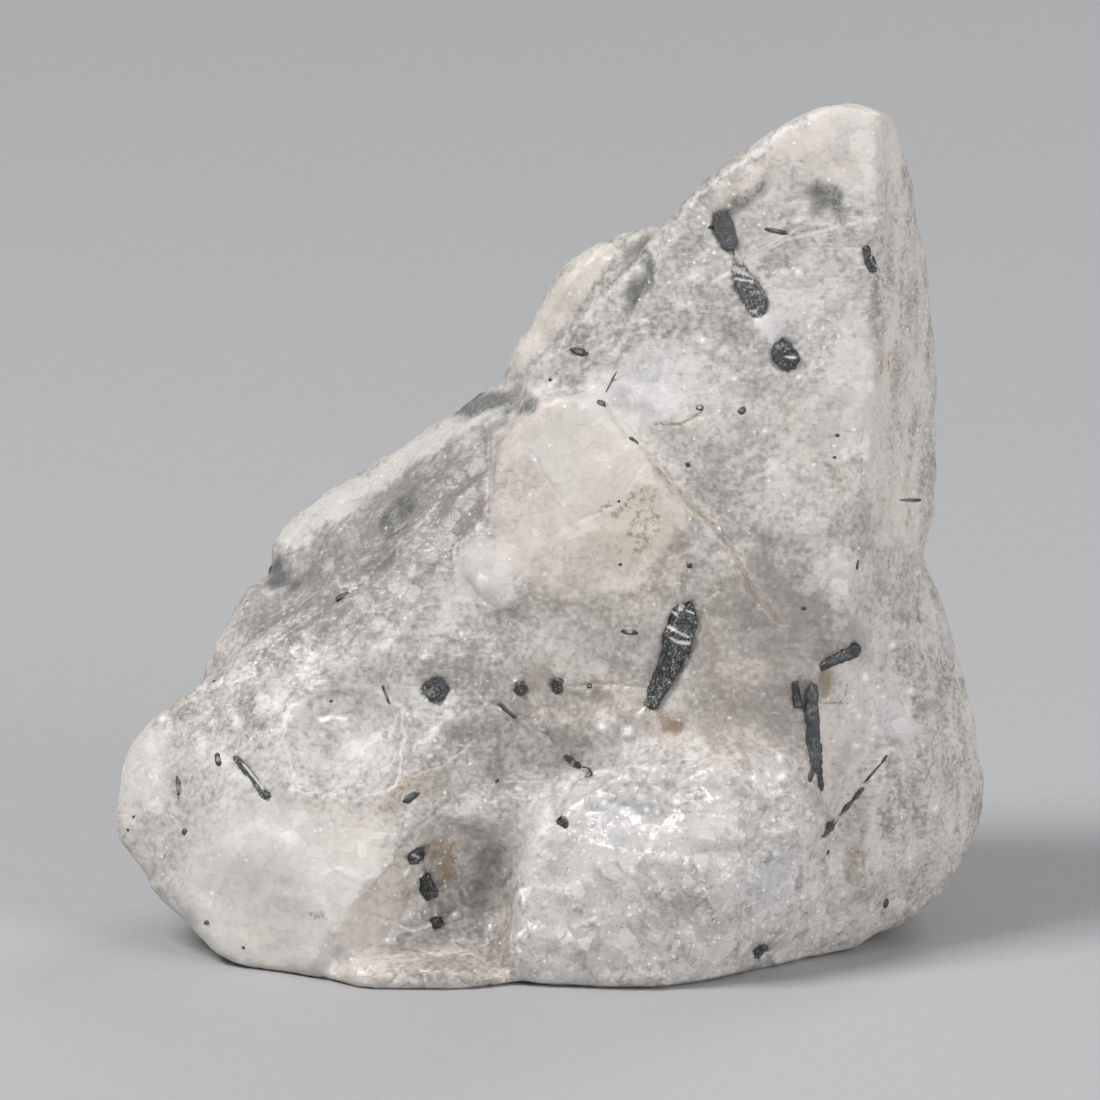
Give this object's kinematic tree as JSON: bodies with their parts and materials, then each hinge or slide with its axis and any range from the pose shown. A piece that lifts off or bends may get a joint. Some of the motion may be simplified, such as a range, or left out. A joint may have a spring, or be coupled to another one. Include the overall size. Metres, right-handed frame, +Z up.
{
  "type": "black rutilated quartz",
  "caption": "Rough broken lump of milky, partly see-through quartz with black rods and needles grown through it, standing on its flat underside.",
  "frame": {"origin": "centre of the bounding box at the height of the flat underside", "axes": "+Z up, +X to the right as the broad face with the crystals is seen, -Y towards the eye"},
  "size_m": [0.0596, 0.035, 0.0584],
  "materials": {
    "milky_quartz": "satin",
    "black_crystal": "satin"
  },
  "bodies": {
    "root": {"quartz_body": "milky_quartz", "crystal_centre": "black_crystal", "crystal_fin_top": "black_crystal", "crystal_fin_middle": "black_crystal", "crystal_fin_stub": "black_crystal", "crystal_upright": "black_crystal", "crystal_elbow": "black_crystal", "crystal_beside": "black_crystal", "crystal_left": "black_crystal", "crystal_stub_left": "black_crystal", "crystal_stub_ring": "black_crystal", "crystal_stub_wedge": "black_crystal", "crystal_recess_top": "black_crystal", "crystal_recess_rod": "black_crystal", "crystal_recess_low": "black_crystal", "crystal_needle_right": "black_crystal", "crystal_needle_middle": "black_crystal", "crystal_chip_foot": "black_crystal", "crystal_chip_lobe": "black_crystal", "crystal_edge_upper": "black_crystal"}
  },
  "joints": []
}
